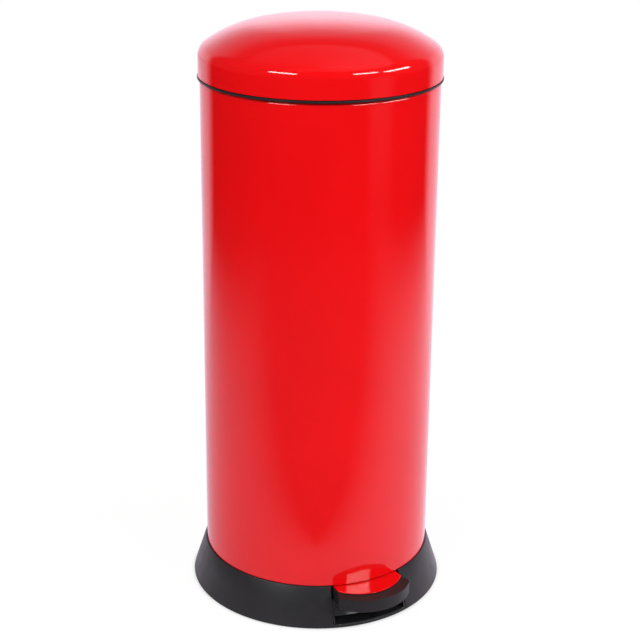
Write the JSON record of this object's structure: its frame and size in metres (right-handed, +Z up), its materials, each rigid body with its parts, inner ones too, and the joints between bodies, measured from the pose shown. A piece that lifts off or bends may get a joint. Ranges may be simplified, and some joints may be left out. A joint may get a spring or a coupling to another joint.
{
  "type": "pedal waste bin",
  "caption": "Round steel waste bin with a domed lid lifted by a foot pedal at the base, a black collar and flared foot, an inner bucket and a carrying handle at the back.",
  "frame": {"origin": "on the bin's axis, in the plane of the floor that its feet stand on", "axes": "+Z up along the body's axis, -Y to the front where the pedal is, +Y to the back where the lid's hinge and the handle are, +X to the right of a person who stands at the pedal and looks at the bin"},
  "size_m": [0.2852, 0.3298, 0.6462],
  "materials": {
    "red_enamel": "gloss",
    "black_plastic": "satin",
    "bucket_plastic": "satin",
    "zinc_steel": "satin",
    "rubber": "matte"
  },
  "bodies": {
    "bin": {"body_shell": "red_enamel", "base_skirt": "black_plastic", "deck_plate": "black_plastic", "foot_pad_front_left": "rubber", "foot_pad_front_right": "rubber", "foot_pad_rear_left": "rubber", "foot_pad_rear_right": "rubber", "pivot_bracket": "zinc_steel", "bracket_screw_left": "zinc_steel", "bracket_screw_right": "zinc_steel", "pivot_pin": "zinc_steel", "rim_collar": "black_plastic", "hinge_bracket": "black_plastic", "hinge_screw_left": "zinc_steel", "hinge_screw_right": "zinc_steel", "hinge_pin": "zinc_steel", "carry_handle": "black_plastic", "handle_screw_left": "zinc_steel", "handle_screw_right": "zinc_steel", "rod_guide_lower": "black_plastic", "rod_guide_upper": "black_plastic", "inner_bucket": "bucket_plastic"},
    "lid": {"lid_shell": "red_enamel", "lid_ring": "black_plastic", "hinge_arm": "black_plastic", "crank_pin": "zinc_steel", "arm_screw_left": "zinc_steel", "arm_screw_right": "zinc_steel"},
    "pedal": {"pedal_tread": "black_plastic", "pedal_cover": "red_enamel", "pedal_lever": "zinc_steel", "pivot_bush": "zinc_steel", "tread_screw_front": "zinc_steel", "tread_screw_rear": "zinc_steel"},
    "rod": {"lift_rod": "zinc_steel", "rod_clip": "zinc_steel", "rod_head": "black_plastic"},
    "bail": {"bucket_bail": "zinc_steel", "bail_grip": "bucket_plastic"}
  },
  "joints": [
    {"name": "lid_hinge", "type": "hinge", "parent": "bin", "child": "lid", "pos_m": [0, 0.136, 0.583], "axis": [-1, 0, 0], "range_deg": [0, 80]},
    {"name": "pedal_pivot", "type": "hinge", "parent": "bin", "child": "pedal", "pos_m": [0, -0.0145, 0.027], "axis": [1, 0, 0], "range_deg": [0, 9.6]},
    {"name": "rod_slide", "type": "slide", "parent": "bin", "child": "rod", "axis": [0, 0, 1], "range_m": [0, 0.0226]},
    {"name": "bail_swing", "type": "hinge", "parent": "bin", "child": "bail", "pos_m": [0, 0, 0.5927], "axis": [-1, 0, 0], "range_deg": [0, 12]}
  ],
  "couplings": [
    {"joint": "pedal_pivot", "follows": "lid_hinge", "ratio": 0.11875},
    {"joint": "rod_slide", "follows": "lid_hinge", "m_per_rad": 0.016093}
  ]
}
